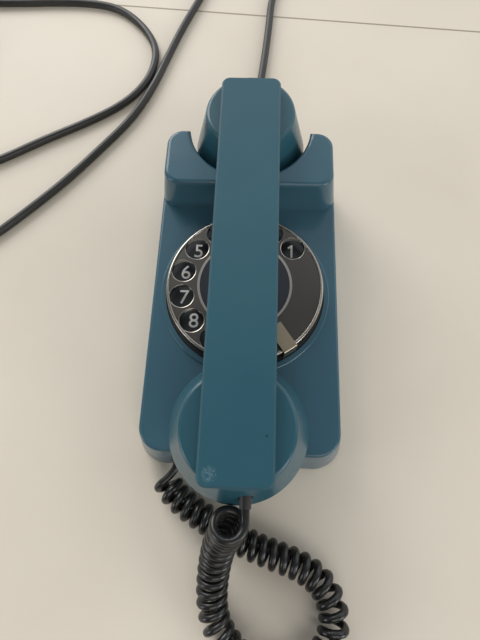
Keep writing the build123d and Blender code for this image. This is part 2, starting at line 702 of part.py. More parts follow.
with BuildPart() as handset_body:
    add(cup_solid(*mouth_cup, 0))
    add(cup_solid(*ear_cup, 0))
    with BuildSketch(Plane.XZ.offset(-ear_y)):
        with BuildLine():
            Polyline((-bar_width / 2, handle_low), (-bar_width / 2, bar_low), (bar_width / 2, bar_low),
                     (bar_width / 2, handle_low), close=True)
        handle = make_face()
        fillet(handle.vertices().group_by(Axis.Y)[0], 4.5)
    extrude(amount=cup_spacing)
    add(cup_solid(*mouth_cup, shell_wall), mode=Mode.SUBTRACT)
    add(cup_solid(*ear_cup, shell_wall), mode=Mode.SUBTRACT)
    with BuildSketch(Plane.XY.offset(handle_low + shell_wall)):
        with Locations((0, (pocket_near + pocket_far) / 2)):
            Rectangle(bar_width - 2 * shell_wall, pocket_far - pocket_near)
    extrude(amount=handle_depth, mode=Mode.SUBTRACT)
    with Locations(*[(x, y, bar_low) for x, y in cup_middles]):
        Cylinder(1.6, 4 * shell_wall, mode=Mode.SUBTRACT)
    with BuildSketch(Plane.XZ.offset(-relief_face - 12)):
        with Locations(relief_place):
            Circle(relief_radius + running_gap)
    extrude(amount=16, mode=Mode.SUBTRACT)
save(handset_body.part, "handset_body")

with BuildPart() as handset_cover:
    with BuildSketch(Plane.XY.offset(bar_low)):
        with Locations((0, bar_y)):
            RectangleRounded(bar_width, bar_length, bar_corner)
    extrude(amount=cover_height)
    chamfer(handset_cover.edges().group_by(Axis.Z)[-1], cover_bevel)
    with BuildSketch(Plane.XY.offset(bar_low)):
        with Locations((0, bar_y)):
            RectangleRounded(bar_width - 2 * shell_wall, bar_length - 2 * shell_wall, bar_corner - shell_wall)
    extrude(amount=cover_height - shell_wall, mode=Mode.SUBTRACT)
    with Locations(*[(x, y, bar_low) for x, y in cup_middles]):
        Cylinder(3.6, cover_height - shell_wall, align=(Align.CENTER, Align.CENTER, Align.MIN))
        Cylinder(1.5 + running_gap, 6.4, mode=Mode.SUBTRACT)
save(handset_cover.part, "handset_cover")

cap_floor = cap_face + cap_wall


def cap_part(top, edge_low, edge_high, hole_rings):
    # The edge curves up between the two heights over the face.
    with BuildPart() as cap:
        with BuildSketch(Plane.XZ):
            with BuildLine():
                Polyline(
                    (0, cap_face), (23, cap_face), (27.2, cap_face + edge_low),
                    (cap_radius, cap_face + edge_high), (cap_radius, top), (25.6, top), (25.6, top + 4), (24.2, top + 4),
                    (24.2, cap_floor + 4), (23.2, cap_floor), (0, cap_floor), close=True,
                )
            make_face()
        revolve(axis=Axis.Z)
        with BuildSketch(Plane.XY.offset(cap_face)):
            Circle(1.1)
            for ring_radius, ring_count in hole_rings:
                with PolarLocations(ring_radius, ring_count):
                    Circle(1.1)
        extrude(amount=cap_wall, mode=Mode.SUBTRACT)
    return cap.part


with BuildPart() as ear_cap:
    with Locations((0, ear_y, 0)):
        add(cap_part(ear_foot - cup_seam, 0.9, 2.8, [(5, 6), (10, 12)]))
save(ear_cap.part, "ear_cap")

with BuildPart() as mouth_cap:
    with Locations((0, mouth_y, 0)):
        add(cap_part(mouth_foot - cup_seam, 2.4, 7, [(6, 8), (12, 14)]))
save(mouth_cap.part, "mouth_cap")

ring_thickness = 0.8
ring_radius = cap_radius - 6.9
ring_bore = 17.0
with BuildPart() as capsule_rings:
    with BuildSketch(Plane.XY.offset(cap_floor)):
        with Locations(*cup_middles):
            Circle(ring_radius)
            Circle(ring_bore, mode=Mode.SUBTRACT)
    extrude(amount=ring_thickness)
save(capsule_rings.part, "capsule_rings")


def capsule_part(radius, height):
    with BuildPart() as capsule:
        with Locations((0, 0, cap_floor + ring_thickness)):
            Cylinder(radius, height, align=(Align.CENTER, Align.CENTER, Align.MIN))
        chamfer(capsule.edges(), 1.0)
        with Locations((0, 0, cap_floor + ring_thickness + height)):
            Cylinder(radius * 0.55, 1.6, align=(Align.CENTER, Align.CENTER, Align.MIN))
    return capsule.part


with BuildPart() as receiver_capsule:
    with Locations((0, ear_y, 0)):
        add(capsule_part(ring_radius - 0.5, 8))
save(receiver_capsule.part, "receiver_capsule")

with BuildPart() as transmitter_capsule:
    with Locations((0, mouth_y, 0)):
        add(capsule_part(ring_radius - 1.5, 9.5))
save(transmitter_capsule.part, "transmitter_capsule")

with BuildPart() as handset_screws:
    with Locations(*[(x, y, cup_under) for x, y in cup_middles]):
        Cylinder(3.0, 1.8, align=(Align.CENTER, Align.CENTER, Align.MAX))
        Cylinder(1.5, shell_wall + 3, align=(Align.CENTER, Align.CENTER, Align.MIN))
save(handset_screws.part, "handset_screws")

with BuildPart() as handset_weight:
    with Locations((0, 0, handle_low + shell_wall)):
        Box(18, 44, 6.4, align=(Align.CENTER, Align.CENTER, Align.MIN))
    fillet(handset_weight.edges().filter_by(Axis.Z), 2.0)
save(handset_weight.part, "handset_weight")

with BuildPart() as handset_relief:
    with BuildSketch(Plane.XZ.offset(-relief_face - relief_length)):
        with Locations(relief_place):
            Circle(relief_radius)
    with BuildSketch(Plane.XZ.offset(-relief_face)):
        with Locations(relief_place):
            Circle(wire_diameter / 2 + 0.5)
    loft()
save(handset_relief.part, "handset_relief")

# ---- cord entries -------------------------------------------------------------------------------
grommet_face = near_wall_y(grommet_place[1]) - grommet_out
with BuildPart() as cord_grommet:
    with BuildSketch(Plane.XZ.offset(-grommet_face)):
        with Locations(grommet_place):
            Circle(grommet_radius)
    extrude(amount=-grommet_out - wall - 2.0)
    fillet(cord_grommet.edges().group_by(Axis.Y)[0], 0.8)
    with BuildSketch(Plane.XZ.offset(-near_wall_y(grommet_place[1]) - wall - 1.2)):
        with Locations(grommet_place):
            Circle(grommet_radius + 1.2)
    extrude(amount=-0.8)
save(cord_grommet.part, "cord_grommet")

gland_face = far_wall_y(gland_height) + gland_length
with BuildPart() as line_gland:
    with BuildSketch(Plane.XZ.offset(-far_wall_y(gland_height) - 1)):
        with Locations((0, gland_height)):
            Circle(gland_radius)
    with BuildSketch(Plane.XZ.offset(-gland_face)):
        with Locations((0, gland_height)):
            Circle(line_diameter / 2 + 0.8)
    loft()
    with BuildSketch(Plane.XZ.offset(-far_wall_y(gland_height) - 1)):
        with Locations((0, gland_height)):
            Circle(gland_radius)
    extrude(amount=wall + 3.4)
save(line_gland.part, "line_gland")

# ---- cords --------------------------------------------------------------------------------------
coil_centre = (-238.0, 194.5)
coil_radius = 35.0
coil_lift = 0.8                  # the tie passes under the coil
turns_in = 3
climb_inset = 0.4                # the climbing half turn lies this share of a pitch further in
floor_line = line_diameter / 2 + 0.1
coil_pitch = line_diameter + coil_gap
coil_low = line_diameter / 2 + coil_lift
coil_high = coil_low + coil_pitch
coil_start = (coil_centre[0], coil_centre[1] + coil_radius, coil_low)

line_route = [
    (0, gland_face, gland_height), (0, gland_face + 8, gland_height), (0.8, 123, 5.2),
    (2.2, 140, floor_line), (4.6, 160, floor_line), (7.0, 184, floor_line), (9.2, 212, floor_line),
    (10.5, 238, floor_line), (16.5, 262, floor_line), (30, 283, floor_line), (32, 308, floor_line),
    (14, 327, floor_line), (-11, 325, floor_line),
    (-27, 304, floor_line), (-31, 274, floor_line), (-40, 242, floor_line), (-52.5, 208, floor_line),
    (-60.5, 180, floor_line), (-68.0, 153, floor_line), (-79.5, 126, floor_line), (-97.5, 101, floor_line),
    (-113, 80, floor_line), (-131, 59.5, floor_line), (-151, 38.5, floor_line), (-173, 20, floor_line),
    (-198, 13.5, floor_line), (-219, 28, floor_line), (-221, 54, floor_line), (-204, 74, floor_line),
    (-180, 82, floor_line), (-157, 93.5, floor_line), (-134, 108.5, floor_line), (-110, 122, floor_line),
    (-89, 136, floor_line), (-76, 151, floor_line), (-69, 169, floor_line), (-69, 189, floor_line),
    (-80.5, 209, floor_line), (-99, 226, floor_line), (-122, 231.5, floor_line), (-150, 231.6, floor_line),
    (-178, 230.2, floor_line), (-210, coil_start[1], coil_low), coil_start,
]

curl_low = 7.15                  # middle of the curls where they lie on the floor
curl_route = [
    (-2.0, -110.6, 51.2), (-2.6, -112.2, 42.0), (-4.8, -115.6, 33.0), (-7.2, -121.6, 24.5),
    (-9.0, -130.6, 17.0), (-9.8, -141.0, 11.2), (-8.8, -151.0, 7.8), (-3.6, -160.5, curl_low),
    (6.0, -168.8, curl_low), (20.0, -173.0, curl_low), (34.0, -170.0, curl_low), (43.2, -160.5, curl_low),
    (45.6, -148.6, curl_low), (41.0, -137.0, curl_low), (30.0, -129.6, curl_low), (15.0, -125.2, curl_low),
    (0.5, -120.0, curl_low), (-13.5, -112.8, curl_low), (-24.0, -106.6, curl_low), (-32.2, -100.4, curl_low),
    (-34.6, -96.1, curl_low),
]
# Share of the way along the route, pitch there, and radius to the middle of the wire.
curl_stations = [
    (0.0, 5.0, 6.0), (0.15, 4.9, 5.6), (0.27, 5.5, 5.25), (0.33, 6.0, 5.2), (0.6, 6.2, 5.2),
    (0.66, 5.2, 5.2), (0.85, 4.8, 5.2), (1.0, 5.6, 5.2),
]


def vector_at(start, pull, finish, t):
    return start * (1 - t) ** 2 + pull * 2 * t * (1 - t) + finish * t * t


def smooth_line(route, steps):
    # Points along the chain of parabolas that the route's corners pull.
    corners = [Vector(*p) for p in route]
    points = [corners[0]]
    start = corners[0]
    for n in range(1, len(corners) - 1):
        last = n == len(corners) - 2
        finish = corners[n + 1] if last else (corners[n] + corners[n + 1]) * 0.5
        points += [vector_at(start, corners[n], finish, (k + 1) / steps) for k in range(steps)]
        start = finish
    return points


def add_biarc(start, heading, finish, finish_heading):
    # Two arcs that leave and arrive on the given headings.
    chord = finish - start
    both = heading + finish_heading
    a = 2 * (heading.dot(finish_heading) - 1)
    b = -2 * chord.dot(both)
    c = chord.dot(chord)
    if abs(a) < 1e-6:
        reach = -c / b
    else:
        reach = (-b - math.sqrt(b * b - 4 * a * c)) / (2 * a)
    first = start + heading * reach
    second = finish - finish_heading * reach
    middle = (first + second) * 0.5
    TangentArc(start, middle, tangent=heading)
    TangentArc(middle, finish, tangent=(second - first).normalized())
    for p, t, q in ((start, heading, middle), (middle, (second - first).normalized(), finish)):
        bend_radii.append((q - p).length / 2 / max(math.sin(math.radians(t.get_angle(q - p))), 1e-6))


def least_gap(points, diameter, apart):
    # Least distance between stretches of one tube that lie at least so many points apart.
    least = 1e9
    for i in range(len(points)):
        for j in range(i + apart, len(points)):
            least = min(least, (points[i] - points[j]).length)
    return least - diameter


def curl_at(share):
    # Pitch and radius of the curls at a share of the route.
    for (before, *first), (after, *second) in zip(curl_stations, curl_stations[1:]):
        if share <= after:
            part = (share - before) / (after - before)
            return [a + (b - a) * part for a, b in zip(first, second)]
    return curl_stations[-1][1:]


def curl_line(route, samples):
    # Helix round the route: one sample list, with the same number of samples in every turn.
    axis = smooth_line(route, 60)
    runs = [(axis[n + 1] - axis[n]).length for n in range(len(axis) - 1)]
    total = sum(runs)
    heading = (axis[1] - axis[0]).normalized()
    side = (Vector(1, 0, 0) - heading * heading.X).normalized()
    frames, turned, gone = [], [], 0
    turn = 0
    for n in range(len(axis)):
        ahead = (axis[min(n + 1, len(axis) - 1)] - axis[max(n - 1, 0)]).normalized()
        side = (side - ahead * side.dot(ahead)).normalized()
        pitch, radius = curl_at(gone / total)
        frames.append((axis[n], side * radius, ahead.cross(side) * radius))
        turned.append(turn)
        if n < len(runs):
            gone += runs[n]
            turn += runs[n] / pitch
    _, side, other = frames[-1]
    end_angle = math.atan2(other.Z, side.Z)
    turns = round(turn - end_angle / (2 * math.pi)) + end_angle / (2 * math.pi)
    stretch = turns / turn
    count = round(turns * samples)
    points, n = [], 0
    for k in range(count + 1):
        wanted = min(k / count * turns / stretch, turn)
        while n < len(turned) - 2 and turned[n + 1] < wanted:
            n += 1
        share = (wanted - turned[n]) / (turned[n + 1] - turned[n])
        centre = frames[n][0] * (1 - share) + frames[n + 1][0] * share
        u = frames[n][1] * (1 - share) + frames[n + 1][1] * share
        v = frames[n][2] * (1 - share) + frames[n + 1][2] * share
        angle = 2 * math.pi * turns * k / count
        points.append(centre + u * math.cos(angle) + v * math.sin(angle))
    return points, turns


curl_samples = 32
curl, curl_turns = curl_line(curl_route, curl_samples)
quarter = curl_samples // 4
knots = list(range(0, len(curl) - quarter // 2, quarter)) + [len(curl) - 1]
headings = [(curl[min(k + 1, len(curl) - 1)] - curl[max(k - 1, 0)]).normalized() for k in knots]
bend_radii = []
cord_out = Vector(relief_place[0], relief_face, relief_place[1])
cord_in = Vector(grommet_place[0], grommet_face, grommet_place[1])
outwards = Vector(0, -1, 0)
inwards = Vector(0, 1, 0)
with BuildPart() as handset_cord:
    with BuildLine() as curl_path:
        Line(cord_out, cord_out + outwards * wire_diameter)
        add_biarc(cord_out + outwards * wire_diameter, outwards, curl[knots[0]], headings[0])
        for n in range(len(knots) - 1):
            add_biarc(curl[knots[n]], headings[n], curl[knots[n + 1]], headings[n + 1])
        add_biarc(curl[knots[-1]], headings[-1], cord_in - inwards * wire_diameter, inwards)
        Line(cord_in - inwards * wire_diameter, cord_in)
    with BuildSketch(Plane(cord_out, z_dir=(0, -1, 0))):
        Circle(wire_diameter / 2)
    sweep(path=curl_path.wire())
save(handset_cord.part, "handset_cord")
print("curls", round(curl_turns, 2), "wire length", round(curl_path.wire().length, 1),
      "volume share", round(handset_cord.part.volume / curl_path.wire().length
                            / (math.pi * wire_diameter ** 2 / 4), 4))
print("curl bends from", round(min(bend_radii), 2), "least gap",
      round(least_gap(curl, wire_diameter, curl_samples // 2), 2))
print("at the ends", [round(r, 2) for r in bend_radii[:2] + bend_radii[-2:]])


def tube_line(route):
    # The straight runs of a free cord, each corner rounded as far as its shorter run allows.
    corners = [Vector(*p) for p in route]
    radii = []
    for n in range(1, len(corners) - 1):
        before, after = corners[n] - corners[n - 1], corners[n + 1] - corners[n]
        half_turn = math.radians(before.get_angle(after)) / 2
        radii.append(0.45 * min(before.length, after.length) / math.tan(half_turn))
    return corners, radii


def first_heading(corners):
    return (corners[1] - corners[0]).normalized()


line_corners, line_radii = tube_line(line_route)
with BuildPart() as line_cord:
    with BuildLine() as line_path:
        FilletPolyline(*line_corners, radius=line_radii)
    with BuildSketch(Plane(line_corners[0], z_dir=first_heading(line_corners))):
        Circle(line_diameter / 2)
    sweep(path=line_path.wire())
save(line_cord.part, "line_cord")
print("line cord radii", [round(r) for r in line_radii])
print("line cord length", round(line_path.wire().length, 1), "volume share",
      round(line_cord.part.volume / line_path.wire().length / (math.pi * line_diameter ** 2 / 4), 4))

# The coil spirals in on the floor, climbs in one half turn, and spirals out on top of itself.
half_turns_in = 2 * turns_in
coil_knots = []
for k in range(half_turns_in + 1):
    coil_knots.append((coil_radius - k * coil_pitch / 2, coil_low))
inner_radius = coil_knots[-1][0]
coil_knots.append((inner_radius - climb_inset * coil_pitch, coil_high))
for k in range(half_turns_in + 1):
    coil_knots.append((inner_radius + (k + 1) * coil_pitch / 2, coil_high))
tail_length = 23.0


def coil_point(k):
    radius, z = coil_knots[k]
    return Vector(coil_centre[0], coil_centre[1] + radius * (-1) ** k, z)


def coil_heading(k):
    return Vector(-(-1) ** k, 0, 0)


coil_end = len(coil_knots) - 1
tail_end = coil_point(coil_end) + coil_heading(coil_end) * tail_length
with BuildPart() as line_cord_coil:
    with BuildLine() as coil_path:
        for k in range(coil_end):
            add_biarc(coil_point(k), coil_heading(k), coil_point(k + 1), coil_heading(k + 1))
        Line(coil_point(coil_end), tail_end)
    with BuildSketch(Plane(coil_point(0), z_dir=coil_heading(0))):
        Circle(line_diameter / 2)
    sweep(path=coil_path.wire())
save(line_cord_coil.part, "line_cord_coil")
coil_wire = coil_path.wire()
coil_samples = [coil_wire.position_at(n / 900) for n in range(901)]
print("coil length", round(coil_wire.length, 1), "volume share",
      round(line_cord_coil.part.volume / coil_wire.length / (math.pi * line_diameter ** 2 / 4), 4),
      "least gap", round(least_gap(coil_samples, line_diameter, 40), 2))

tie_wall = 0.7
tie_room = 0.1
tie_inner = inner_radius - line_diameter / 2 - coil_pitch / 2 - tie_room
tie_outer = coil_radius + coil_pitch / 2 + line_diameter / 2 + tie_room
tie_top = coil_high + line_diameter / 2 + tie_room
with BuildPart() as coil_tie:
    with BuildSketch(Plane.XZ.offset(-coil_centre[1] - 3)):
        with Locations((coil_centre[0] + (tie_inner + tie_outer) / 2, (tie_top + tie_wall) / 2)):
            RectangleRounded(tie_outer - tie_inner + 2 * tie_wall, tie_top + tie_wall, 2.0)
            RectangleRounded(tie_outer - tie_inner, tie_top - tie_wall, 1.3, mode=Mode.SUBTRACT)
    extrude(amount=6)
save(coil_tie.part, "coil_tie")

plug_length = 34.0
plug_width = 26.0
plug_neck = 9.0
pin_radius = 2.0
pin_spacing = 12.0
pin_length = 15.0
pin_depth = 5.0
plug_face = tail_end.X - plug_neck - plug_length
with BuildPart() as plug_body:
    with BuildSketch(Plane.YZ.offset(tail_end.X)) as neck_end:
        with Locations((tail_end.Y, tail_end.Z)):
            Circle(line_diameter / 2 + 1.0)
    with BuildSketch(Plane.YZ.offset(tail_end.X - plug_neck)):
        with Locations((tail_end.Y, tail_end.Z)):
            Circle(line_diameter / 2 + 2.2)
    loft()
    with BuildSketch(Plane.YZ.offset(tail_end.X - plug_neck)):
        with Locations((tail_end.Y, tail_end.Z)):
            RectangleRounded(plug_width, 2 * tail_end.Z, 5)
    extrude(amount=-plug_length)
    fillet(plug_body.edges().group_by(Axis.X)[0], 1.2)
    with BuildSketch(Plane.YZ.offset(plug_face)):
        with Locations((tail_end.Y - pin_spacing / 2, tail_end.Z), (tail_end.Y + pin_spacing / 2, tail_end.Z)):
            Circle(pin_radius + running_gap)
    extrude(amount=pin_depth + 0.2, mode=Mode.SUBTRACT)
save(plug_body.part, "plug_body")

with BuildPart() as plug_pins:
    with BuildSketch(Plane.YZ.offset(plug_face + pin_depth)):
        with Locations((tail_end.Y - pin_spacing / 2, tail_end.Z), (tail_end.Y + pin_spacing / 2, tail_end.Z)):
            Circle(pin_radius)
    extrude(amount=-pin_depth - pin_length)
    fillet(plug_pins.edges().group_by(Axis.X)[0], 1.2)
save(plug_pins.part, "plug_pins")
print("pieces", len(finished))
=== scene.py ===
import json
import math

import bmesh
import bpy
from mathutils import Matrix, Vector


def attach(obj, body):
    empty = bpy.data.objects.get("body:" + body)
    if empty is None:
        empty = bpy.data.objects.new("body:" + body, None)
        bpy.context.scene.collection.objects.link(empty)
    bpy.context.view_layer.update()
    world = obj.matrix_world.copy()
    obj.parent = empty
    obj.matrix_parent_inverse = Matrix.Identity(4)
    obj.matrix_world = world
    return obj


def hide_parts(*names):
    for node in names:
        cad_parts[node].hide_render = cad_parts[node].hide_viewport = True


# A blue wall telephone with a finger wheel, lying on its back. Metres; +Z points out of the wall and +Y
# towards the earpiece.
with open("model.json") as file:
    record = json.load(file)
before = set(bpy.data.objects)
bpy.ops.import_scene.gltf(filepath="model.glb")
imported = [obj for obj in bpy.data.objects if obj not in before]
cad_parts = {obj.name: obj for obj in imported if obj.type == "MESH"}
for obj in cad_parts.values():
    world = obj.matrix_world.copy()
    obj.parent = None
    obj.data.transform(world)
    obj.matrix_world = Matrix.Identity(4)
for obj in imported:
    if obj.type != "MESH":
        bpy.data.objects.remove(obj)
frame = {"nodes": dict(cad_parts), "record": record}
nodes = frame["nodes"]
collection = bpy.context.scene.collection
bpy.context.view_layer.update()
print("frame with", len(nodes), "nodes")


viewer = {
    "place": (0.0044, -0.08905, 0.23761),
    "below": 71.43,  # degrees under the horizon
    "aside": -5.04,
    "tilt": -2.87,
    "lens": 25.09,
    "sensor": 36.0,
}


def makeCamera(spec):
    below, aside, tilt = (math.radians(spec[key]) for key in ("below", "aside", "tilt"))
    out = math.cos(below)
    forward = Vector((math.sin(aside) * out, math.cos(aside) * out, -math.sin(below)))
    level = Vector((math.cos(aside), -math.sin(aside), 0))
    under = forward.cross(level)
    right = level * math.cos(tilt) - under * math.sin(tilt)
    up = -(level * math.sin(tilt) + under * math.cos(tilt))
    data = bpy.data.cameras.new("camera")
    data.sensor_fit = "VERTICAL"
    data.sensor_height = spec["sensor"]
    data.lens = spec["lens"]
    data.clip_start = 0.01
    data.clip_end = 20
    camera = bpy.data.objects.new("camera", data)
    turn = Matrix((right, up, -forward)).transposed().to_4x4()
    camera.matrix_world = Matrix.Translation(spec["place"]) @ turn
    collection.objects.link(camera)
    bpy.context.scene.camera = camera


makeCamera(viewer)


def addNode(tree, kind, **values):
    node = tree.nodes.new(kind)
    for key, value in values.items():
        if hasattr(node, key):
            setattr(node, key, value)
        else:
            node.inputs[key].default_value = value
    return node


def newMaterial(name, shaderValues):
    material = bpy.data.materials.new(name)
    material.use_nodes = True
    shader = material.node_tree.nodes["Principled BSDF"]
    for key, value in shaderValues.items():
        shader.inputs[key].default_value = value
    return material, material.node_tree, shader


def mappedValue(tree, value, fromLow, fromHigh, toLow, toHigh, smooth=False):
    spread = addNode(tree, "ShaderNodeMapRange", interpolation_type="SMOOTHSTEP" if smooth else "LINEAR")
    limits = {"From Min": fromLow, "From Max": fromHigh, "To Min": toLow, "To Max": toHigh}
    for key, limit in limits.items():
        spread.inputs[key].default_value = limit
    tree.links.new(value, spread.inputs["Value"])
    return spread.outputs["Result"]


def combineValues(tree, operation, first, second):
    both = addNode(tree, "ShaderNodeMath", operation=operation)
    tree.links.new(first, both.inputs[0])
    tree.links.new(second, both.inputs[1])
    return both.outputs["Value"]


def noiseBetween(tree, source, scale, low, high, detail=4.0, fromValue=0.35, toValue=0.65):
    # A value that wanders between low and high over the surface.
    noise = addNode(tree, "ShaderNodeTexNoise", Scale=scale, Detail=detail)
    tree.links.new(source, noise.inputs["Vector"])
    return mappedValue(tree, noise.outputs["Fac"], fromValue, toValue, low, high)


def mixColours(tree, factor, first, second):
    mix = tree.nodes.new("ShaderNodeMix")
    mix.data_type = "RGBA"
    for socket, value in ((mix.inputs[6], first), (mix.inputs[7], second)):
        if isinstance(value, tuple):
            socket.default_value = (*value[:3], 1)
        else:
            tree.links.new(value, socket)
    tree.links.new(factor, mix.inputs[0])
    return mix.outputs[2]


def addBump(tree, shader, height, strength, distance):
    bump = addNode(tree, "ShaderNodeBump", Strength=strength, Distance=distance)
    tree.links.new(height, bump.inputs["Height"])
    tree.links.new(bump.outputs["Normal"], shader.inputs["Normal"])


def objectPlace(tree):
    return tree.nodes.new("ShaderNodeTexCoord").outputs["Object"]


surface = {
    "toneScale": 22,
    "polishScale": 60,
    "polishDetail": 8,
    "duller": 0.05,  # how far the roughness wanders up and down
    "shinier": 0.03,
    "peelStrength": 0.25,
    "markScale": 1400,
    "markDetail": 6,
    "markCore": 0.35,  # share of a mark's reach that is fully marked
    "lineDetail": 3,
    "lineStrength": 0.2,
    "lineHeight": 0.00001,
    "lineDarker": 0.86,
    "lineFrom": 0.3,
    "lineTo": 0.7,
    "lineShinier": 0.8,
    "lineDuller": 1.25,
}


def mouldedPlastic(name, colour, deeper, roughness, grain=2600, grainHeight=0.000004, metallic=0.0,
                   shine=0.5):
    # Two close tones, a wandering polish and fine orange peel.
    values = {"Base Color": (*colour, 1), "Metallic": metallic, "IOR": 1.5, "Specular IOR Level": shine}
    material, tree, shader = newMaterial(name, values)
    place = objectPlace(tree)
    tone = noiseBetween(tree, place, surface["toneScale"], 0, 1)
    tree.links.new(mixColours(tree, tone, colour, deeper), shader.inputs["Base Color"])
    polish = noiseBetween(tree, place, surface["polishScale"], roughness - surface["shinier"],
                          roughness + surface["duller"], detail=surface["polishDetail"])
    tree.links.new(polish, shader.inputs["Roughness"])
    peel = addNode(tree, "ShaderNodeTexNoise", Scale=grain, Detail=2)
    tree.links.new(place, peel.inputs["Vector"])
    addBump(tree, shader, peel.outputs["Fac"], surface["peelStrength"], grainHeight)
    return material


def addMark(material, mark):
    # A patch round a place, where noise lets a paler or darker tone through.
    tree = material.node_tree
    shader = tree.nodes["Principled BSDF"]
    before = shader.inputs["Base Color"].links[0].from_socket
    around = objectPlace(tree)
    span = addNode(tree, "ShaderNodeVectorMath", operation="DISTANCE")
    tree.links.new(around, span.inputs[0])
    span.inputs[1].default_value = mark["place"]
    reach = mark["reach"]
    near = mappedValue(tree, span.outputs["Value"], reach * surface["markCore"], reach, 1, 0, smooth=True)
    speckle = noiseBetween(tree, around, surface["markScale"], 0, 1, surface["markDetail"], *mark["noise"])
    both = combineValues(tree, "MULTIPLY", near, speckle)
    tree.links.new(mixColours(tree, both, before, mark["colour"]), shader.inputs["Base Color"])


def brushedMetal(name, colour, roughness, centre=None, stretch=(1, 1, 1), fine=900):
    # Fine turning or brushing lines; with a centre they run round it.
    material, tree, shader = newMaterial(name, {"Base Color": (*colour, 1), "Metallic": 1.0})
    place = objectPlace(tree)
    if centre is None:
        mapping = addNode(tree, "ShaderNodeMapping", Scale=stretch)
        tree.links.new(place, mapping.inputs["Vector"])
        lines = addNode(tree, "ShaderNodeTexNoise", Scale=fine, Detail=surface["lineDetail"])
        tree.links.new(mapping.outputs["Vector"], lines.inputs["Vector"])
    else:
        mapping = addNode(tree, "ShaderNodeMapping", Location=(-centre[0], -centre[1], 0))
        tree.links.new(place, mapping.inputs["Vector"])
        flat = addNode(tree, "ShaderNodeVectorMath", operation="MULTIPLY")
        flat.inputs[1].default_value = (1, 1, 0)
        tree.links.new(mapping.outputs["Vector"], flat.inputs[0])
        span = addNode(tree, "ShaderNodeVectorMath", operation="LENGTH")
        tree.links.new(flat.outputs["Vector"], span.inputs[0])
        lines = addNode(tree, "ShaderNodeTexNoise", noise_dimensions="1D", Scale=fine,
                        Detail=surface["lineDetail"])
        tree.links.new(span.outputs["Value"], lines.inputs["W"])
    streak = lines.outputs["Fac"]
    polish = mappedValue(tree, streak, surface["lineFrom"], surface["lineTo"],
                         roughness * surface["lineShinier"], roughness * surface["lineDuller"])
    tree.links.new(polish, shader.inputs["Roughness"])
    darker = tuple(part * surface["lineDarker"] for part in colour)
    tree.links.new(mixColours(tree, streak, darker, colour), shader.inputs["Base Color"])
    addBump(tree, shader, streak, surface["lineStrength"], surface["lineHeight"])
    return material


petrol = {"colour": (0.028, 0.098, 0.130), "deeper": (0.025, 0.089, 0.121), "roughness": 0.2, "shine": 0.38}
bluer = {"colour": (0.046, 0.118, 0.160), "deeper": (0.041, 0.108, 0.148), "roughness": 0.2, "shine": 0.38}
dialCentre = (0.0, -0.0038)
gongCentre = (0.0218, -0.064)  # of the right one
capsuleLines = (0.0, 0.07325)  # the earpiece capsule's turning lines run round this point

